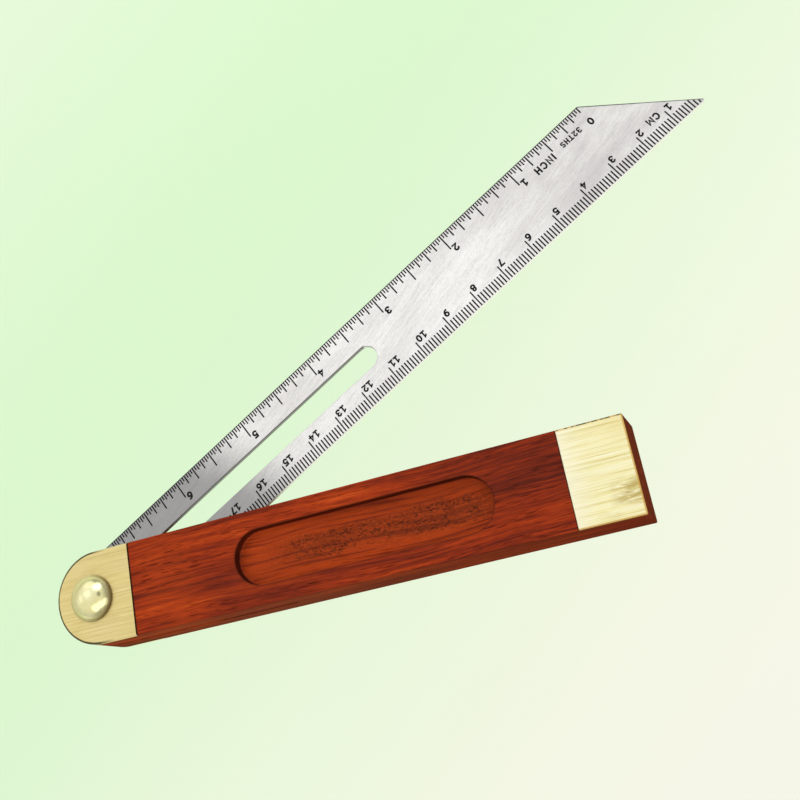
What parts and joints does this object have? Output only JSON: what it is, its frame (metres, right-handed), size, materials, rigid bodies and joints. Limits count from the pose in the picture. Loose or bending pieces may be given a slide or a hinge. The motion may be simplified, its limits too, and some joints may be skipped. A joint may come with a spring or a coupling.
{
  "type": "sliding bevel",
  "caption": "Sliding bevel with a slotted graduated steel blade that turns and slides in a kerfed hardwood stock with brass plates, clamped by a domed bolt and wing nut.",
  "frame": {"origin": "on the pivot axis, half way through the thickness of the stock", "axes": "+X along the stock from the pivot to the butt, +Y across the stock towards the side the blade opens to, +Z along the pivot axis out of the front face with the domed bolt head"},
  "size_m": [0.2051, 0.1126, 0.0317],
  "materials": {
    "rosewood": "satin varnish",
    "brass_plate": "brushed lengthwise",
    "brass_polished": "polished",
    "brass_turned": "machined",
    "blade_steel": "satin, ground lengthwise"
  },
  "bodies": {
    "stock": {"wooden_stock": "rosewood", "nose_plate_front": "brass_plate", "nose_plate_back": "brass_plate", "butt_plate_front": "brass_plate", "butt_plate_back": "brass_plate", "clamp_bolt": "brass_polished"},
    "pivot": {"pivot_sleeve": "brass_turned"},
    "blade": {"bevel_blade": "blade_steel"},
    "washer": {"plain_washer": "brass_turned"},
    "wing_nut": {"wing_nut": "brass_polished"}
  },
  "joints": [
    {"name": "blade_turn", "type": "hinge", "parent": "stock", "child": "pivot", "pos_m": [0, 0, 0], "axis": [0, 0, 1], "range_deg": [-16.2, 126.8]},
    {"name": "blade_slide", "type": "slide", "parent": "pivot", "child": "blade", "axis": [-0.8813, -0.4726, 0], "range_m": [-0.0005, 0.1]},
    {"name": "nut_travel", "type": "slide", "parent": "stock", "child": "washer", "axis": [0, 0, -1], "range_m": [0, 0.00121]},
    {"name": "nut_turn", "type": "hinge", "parent": "washer", "child": "wing_nut", "pos_m": [0, 0, -0.009], "axis": [0, 0, -1], "range_deg": [0, 540]}
  ],
  "couplings": [
    {"joint": "nut_travel", "follows": "nut_turn", "m_per_rad": 0.00012732}
  ]
}
